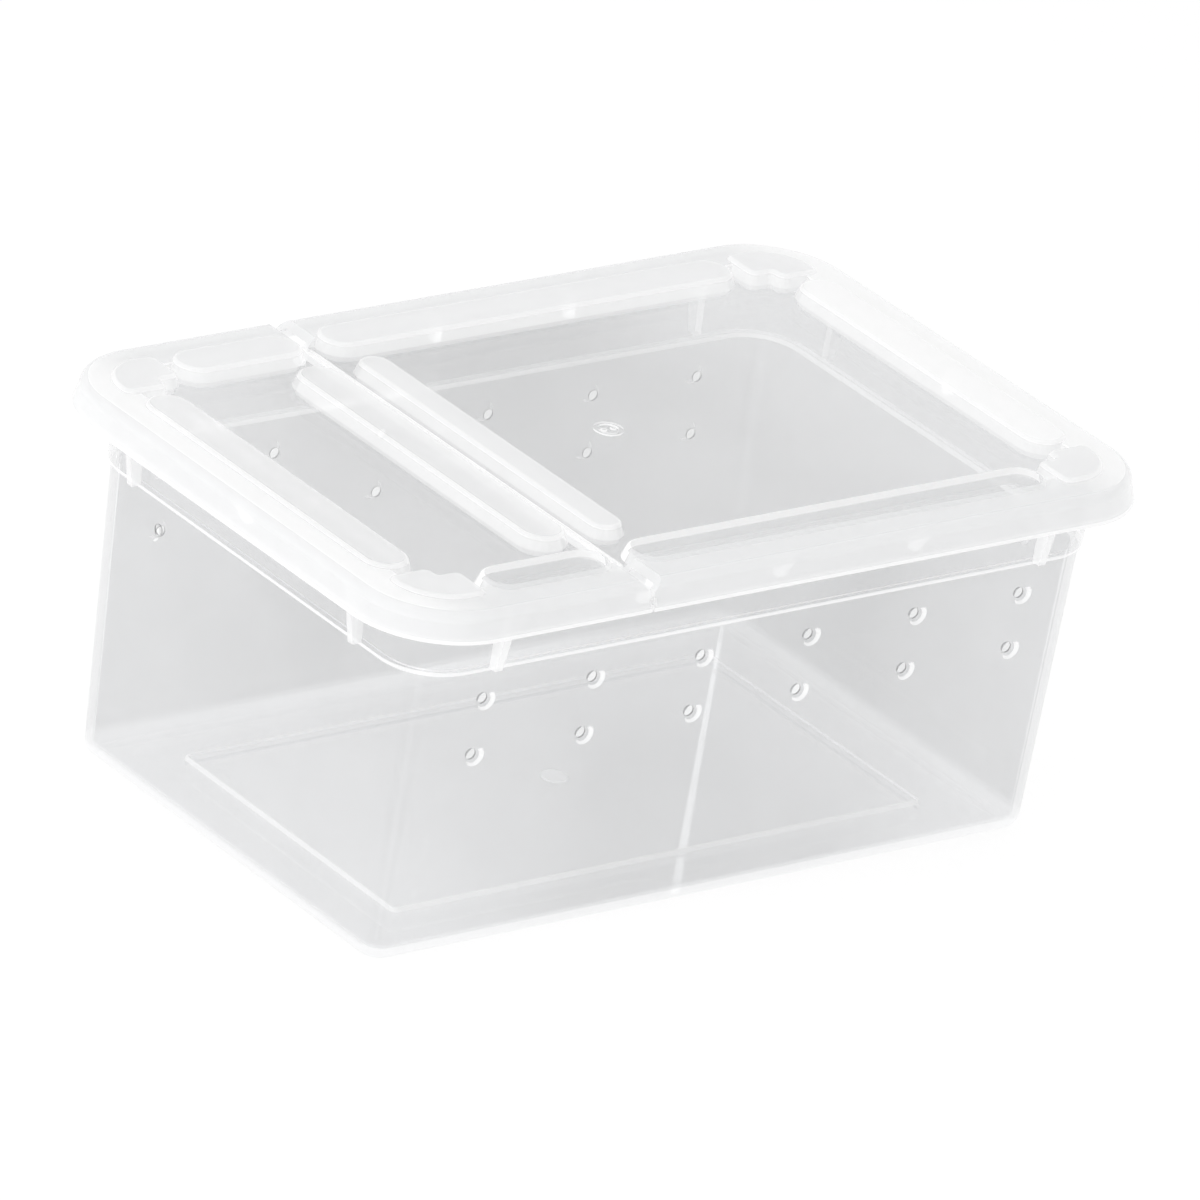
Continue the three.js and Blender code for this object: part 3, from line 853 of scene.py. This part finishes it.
def pick_tub(centre, normal):
    x, y, z = abs(centre.x), abs(centre.y), centre.z
    vent = vent_part(centre, normal)
    if vent:
        return vent
    if z > FLANGE_LOW - NEAR_FLANGE:
        return "flange"
    floor_part = pick_floor(x, y, z, abs(normal.z) > LEVEL) if z < FLOOR_ZONE else None
    if floor_part:
        return floor_part
    if z > LEDGE_Z and (x > BAND[0] + NEAR_BAND or y > BAND[1] + NEAR_BAND):
        # Gussets take lit copies of the plastic, painted light that is strongest on the short and far ones
        if x < 1.5 * GUSSET_PITCH_X or y < GUSSET_PLACE_Y / 2:
            return "short_gusset"
        far = centre.x > LEDGE[0] or (centre.y > 0 and centre.x > -LEDGE[0])
        return "far_gusset" if far else "gusset"
    outward = normal.x * centre.x * FOOT[1] ** 2 + normal.y * centre.y * FOOT[0] ** 2
    # The ledge strips get a painted highlight line in the white ledge material
    if LEDGE_LINE[0] - NEAR < z < LEDGE_LINE[1] + NEAR and outward > 0:
        return "ledge"
    if LEDGE_Z + NEAR_BAND < z < LEDGE_Z + LEDGE_RISE - NEAR:
        return "ledge"
    if z > LEDGE_Z:
        return "band"
    if z < FOOT_ROUNDING:
        return "foot"
    # A narrow core of each corner gets the painted reflection
    share = corner_share(centre, z)
    if share is not None and CORNER_REFLECTION[0] < share < CORNER_REFLECTION[1]:
        return "corner_core"
    if share is not None and CORNER[0] < share < CORNER[1]:
        return "corner"
    return "wall"


floor_top = TUB_FLOOR + PAD_RISE
tub_data = carved("tub_shape", tub_outside(), [
    ("UNION", gussets()),
    ("DIFFERENCE", tub_inside()),
    ("UNION", pad(TUB_FLOOR / 2, floor_top)),
    ("UNION", disc(FLOOR_GATE, floor_top - GATE_SINK, floor_top + GATE_RISE)),
    ("DIFFERENCE", pad(-PAD_RISE, PAD_RISE)),
    ("DIFFERENCE", vents()),
])
finish_mesh(tub_data, tub_materials, pick_tub)
piece("clear_tub", tub_data, "tub", "tub")


# Lid pieces

lid_materials = {
    # Lit and shaded copies of one clear plastic. The milky white of the land, skirt, edge, front line, bar
    # rims, bar walls and back and end bars is painted light for what the moulding gathers at rims and edges;
    # the clearer front bars are painted shade
    "panel": plastic("lid_panel", tint=0.872, milk_and_edge_light=0.02, seed=1.1, roughness=0.05, end_tint=0.045),
    "land": plastic("lid_land", tint=0.95, milk_and_edge_light=0.42, seed=1.3, milk_and_light_colour=PALE, end_painted_light=0.3,
                    ends=LAND_ENDS),
    "skirt": plastic("lid_skirt", tint=0.95, milk_and_edge_light=0.62, seed=1.5, milk_and_light_colour=PALE, milk_spread=0.06),
    "bar_front": plastic("lid_bar_front", tint=0.9, milk_and_edge_light=0.05, seed=1.7, milk_and_light_colour=PALE),
    "bar_side": plastic("lid_bar_side", tint=0.93, milk_and_edge_light=0.29, seed=1.8, milk_and_light_colour=SOFT_WHITE),
    "bar_back": plastic("lid_bar_back", tint=0.95, milk_and_edge_light=0.64, seed=2.0, milk_and_light_colour=PALE),
    "bar_end": plastic("lid_bar_end", tint=0.95, milk_and_edge_light=0.5, seed=2.1, milk_and_light_colour=PALE, end_painted_light=0.18),
    "bar_wall": plastic("lid_bar_wall", tint=0.95, milk_and_edge_light=0.36, seed=2.2, milk_and_light_colour=SOFT_WHITE),
    "bar_rim": plastic("lid_bar_rim", tint=0.97, milk_and_edge_light=0.6, seed=2.4, milk_and_light_colour=SOFT_WHITE),
    "edge": plastic("lid_edge", tint=0.98, milk_and_edge_light=0.72, seed=1.9, milk_and_light_colour=WHITE),
    "front_line": plastic("lid_front_highlight", tint=0.99, milk_and_edge_light=0.9, seed=1.95, milk_and_light_colour=WHITE),
}
bars = lid_bars()

# The same for the lid
BAR_MARGIN = 1.6
NEAR_LEVEL = 0.08
LIP_FACE = 0.4
LID_LEVEL = 0.95
RAIL_ZONE = RAIL_HALF + 2
FRONT_LINE_Y = -RAIL_Y + 1
CORNER_BAR_X = BEND[0] - BEND_STUB[0] - 1
CORNER_BAR_Y = BEND[1] - BEND_STUB[1] - 1
RECESS = (BAND[0] - TUB_WALL - MOUTH_GAP, BAND[1] - TUB_WALL - MOUTH_GAP, 12)


def inside_bar(x, y, offset):
    for bar in bars:
        if "side_x" in bar:
            u = bar["side_x"] * x - BEND[0]
            v = bar["side_y"] * y - BEND[1]
            away = math.hypot(max(u, 0.0), max(v, 0.0))
            if u < -BEND_STUB[0] - offset or v < -BEND_STUB[1] - offset:
                continue
            if BEND_INNER - offset < away < BEND_OUTER + offset and (u > 0 or v > 0):
                return True
            continue
        along = x - bar["x"] if bar["along_x"] else y - bar["y"]
        across = y - bar["y"] if bar["along_x"] else x - bar["x"]
        run = bar["half_length"] - bar["half_width"]
        if math.hypot(max(abs(along) - run, 0.0), across) < bar["half_width"] + offset:
            return True
    return False


def bar_part(x, y):
    """Material of a bar's top, from lit and shaded copies of one plastic. The front rails are the clearest,
    painted shade, and the back rails the milkiest, painted light.
    """
    if abs(x) > CORNER_BAR_X and abs(y) > CORNER_BAR_Y:
        return "bar_back"
    if abs(y) > RAIL_Y - RAIL_ZONE:
        return "bar_front" if y < 0 else "bar_back"
    if x > RAIL_X - RAIL_ZONE:
        return "bar_end"
    return "bar_back" if x > HINGE_X else "bar_side"


def in_recess(x, y):
    half_x, half_y, radius = RECESS
    past = math.hypot(max(abs(x) - half_x + radius, 0.0), max(abs(y) - half_y + radius, 0.0))
    return abs(x) <= half_x and abs(y) <= half_y and past <= radius


def pick_lid(centre, normal):
    x, y, z = centre
    if abs(normal.z) > LID_LEVEL:
        if z < SKIRT_LOW + LIP_FACE:
            return "edge"
        if min(abs(z - BAR_TOP), abs(z - BAR_TOP + LID_WALL)) < NEAR_LEVEL:
            return bar_part(x, y)
        if min(abs(z - LAND_TOP), abs(z - LAND_LOW)) < NEAR_LEVEL:
            return "land"
        return "panel"
    if z < SKIRT_LOW + LIP:
        return "edge"
    if z < PANEL_LOW - NEAR:
        return "skirt"
    on_bar = inside_bar(x, y, BAR_MARGIN)
    # A strip along the front rail gets a painted highlight line
    if on_bar and z > LAND_LOW and y < -RAIL_Y + RAIL_ZONE and abs(x) < CORNER_BAR_X:
        return "front_line" if y > FRONT_LINE_Y else "land"
    if z > BAR_TOP - BAR_EDGE - NEAR:
        return "bar_rim"
    if on_bar:
        return "bar_wall"
    return "edge" if in_recess(x, y) else "skirt"


whole_lid = carved_object("whole_lid", lid_outside(), [
    ("DIFFERENCE", recess(0.0, PANEL_TOP, RECESS_LIP)),
    ("UNION", joined([bar_outside(bar) for bar in bars])),
    ("DIFFERENCE", carved_object("lid_hollow", lid_inside(), [
        ("DIFFERENCE", recess(LID_WALL, PANEL_LOW)),
        ("UNION", joined([bar_inside(bar) for bar in bars])),
    ])),
    ("UNION", turned(ring(*GATE_RING, -GATE_SINK, GATE_RISE), 0.0, 0.0, 0.0, PANEL_TOP)),
    ("UNION", joined([disc(GATE_PIP, PANEL_TOP - GATE_SINK, PANEL_TOP + GATE_RISE, side * GATE_PIP_X)
                      for side in (-1, 1)])),
    ("DIFFERENCE", hinge_cuts()),
])
cover_data = carved("cover_shape", whole_lid, [("INTERSECT", side_of_hinge(1))])
flap_data = carved("flap_shape", whole_lid, [("INTERSECT", side_of_hinge(-1))])
finish_mesh(cover_data, lid_materials, pick_lid)
finish_mesh(flap_data, lid_materials, pick_lid)
piece("clear_cover", cover_data, "lid", "lid_cover")
piece("clear_flap", flap_data, "flap", "lid_flap")

film_outline = [(FILM_HALF[0] * math.cos(a), FILM_HALF[2] * math.sin(a)) for a in turn_angles(FILM_SIDES)]
film_web = turned(prism(film_outline, 2 * FILM_HALF[1]), 0.0, HINGE_X, 0.0, HINGE_Z)
film_data = carved("film_shape", film_web, [])
finish_mesh(film_data, {"edge": lid_materials["edge"]}, lambda centre, normal: "edge")
piece("clear_film", film_data, "lid", "film_hinge")

for thing in scratch:
    bpy.data.objects.remove(thing)


# Floor, world and light, in metres

FLOOR_REACH = 3.0
FLOOR_DROP = 0.0003
FLOOR_SIDES = [(-1, -1), (1, -1), (1, 1), (-1, 1)]
WORLD_LIGHT = 0.97
WORLD_SEEN = 1.0
CLEAR_LAYERS = 32

floor_data = bpy.data.meshes.new("floor")
floor_corners = [(x * FLOOR_REACH, y * FLOOR_REACH, 0) for x, y in FLOOR_SIDES]
floor_data.from_pydata(floor_corners, [], [(0, 1, 2, 3)])
floor = bpy.data.objects.new("floor", floor_data)
scene.collection.objects.link(floor)
floor.location.z = -FLOOR_DROP
floor_material = bpy.data.materials.new("floor_white")
floor_material.use_nodes = True
floor_shader = floor_material.node_tree.nodes["Principled BSDF"]
floor_shader.inputs["Base Color"].default_value = WHITE
floor_shader.inputs["Roughness"].default_value = 1.0
floor_shader.inputs["Specular IOR Level"].default_value = 0.0
floor_data.materials.append(floor_material)

world = bpy.data.worlds.new("studio")
scene.world = world
world.use_nodes = True
tree = world.node_tree
background = tree.nodes["Background"]
background.inputs["Color"].default_value = WHITE
paths = tree.nodes.new("ShaderNodeLightPath")
white = tree.nodes.new("ShaderNodeMath")
white.operation = "MAXIMUM"
tree.links.new(paths.outputs["Is Camera Ray"], white.inputs[0])
tree.links.new(paths.outputs["Is Glossy Ray"], white.inputs[1])
strength = tree.nodes.new("ShaderNodeMapRange")
tree.links.new(white.outputs[0], strength.inputs["Value"])
strength.inputs["To Min"].default_value = WORLD_LIGHT
strength.inputs["To Max"].default_value = WORLD_SEEN
tree.links.new(strength.outputs[0], background.inputs["Strength"])


def lamp(name, place, target, size, power):
    light = bpy.data.lights.new(name, "AREA")
    light.shape = "RECTANGLE"
    light.size, light.size_y = size
    light.energy = power
    thing = bpy.data.objects.new(name, light)
    scene.collection.objects.link(thing)
    thing.location = place
    thing.rotation_euler = (Vector(target) - Vector(place)).to_track_quat("-Z", "Y").to_euler()
    thing.visible_glossy = False


lamp("left_softbox", place=(-1.3, -0.2, 0.33), target=(0, 0, 0.06), size=(0.9, 0.5), power=5.8)

# Many clear surfaces lie one behind the other, more than the usual limit of eight
scene.cycles.transparent_max_bounces = CLEAR_LAYERS
scene.view_settings.view_transform = "Standard"


# Camera at the photo's angle. Turn, height and roll of the view are in degrees. The offset is where the
# object's origin lies along the camera's own axes, in metres. Focal length and image width are in pixels.

CAMERA_TURN = -40.66
CAMERA_HEIGHT = 24.75
CAMERA_ROLL = 8.88
CAMERA_OFFSET = (-0.00959, -0.03808, 2.70727)
CAMERA_REACH = 20
FOCAL_PIXELS = 13443.5
IMAGE_WIDTH = 1200
SENSOR_MM = 36


def photo_camera():
    az, el, roll = [math.radians(angle) for angle in (CAMERA_TURN, CAMERA_HEIGHT, CAMERA_ROLL)]
    offset = Vector(CAMERA_OFFSET)
    right = Vector((math.cos(az), math.sin(az), 0))
    ahead = Vector((-math.sin(az), math.cos(az), 0))
    forward = ahead * math.cos(el) - Vector((0, 0, 1)) * math.sin(el)
    up = right.cross(forward)
    rolled_right = right * math.cos(roll) + up * math.sin(roll)
    rolled_up = -right * math.sin(roll) + up * math.cos(roll)
    rows = Matrix((rolled_right, rolled_up, forward))
    centre = -(rows.transposed() @ offset)
    data = bpy.data.cameras.new("camera")
    data.sensor_width = SENSOR_MM
    data.lens = FOCAL_PIXELS * SENSOR_MM / IMAGE_WIDTH
    data.clip_end = CAMERA_REACH
    thing = bpy.data.objects.new("camera", data)
    scene.collection.objects.link(thing)
    axes = Matrix((rolled_right, rolled_up, -forward)).transposed().to_4x4()
    thing.matrix_world = Matrix.Translation(centre) @ axes
    scene.camera = thing


photo_camera()
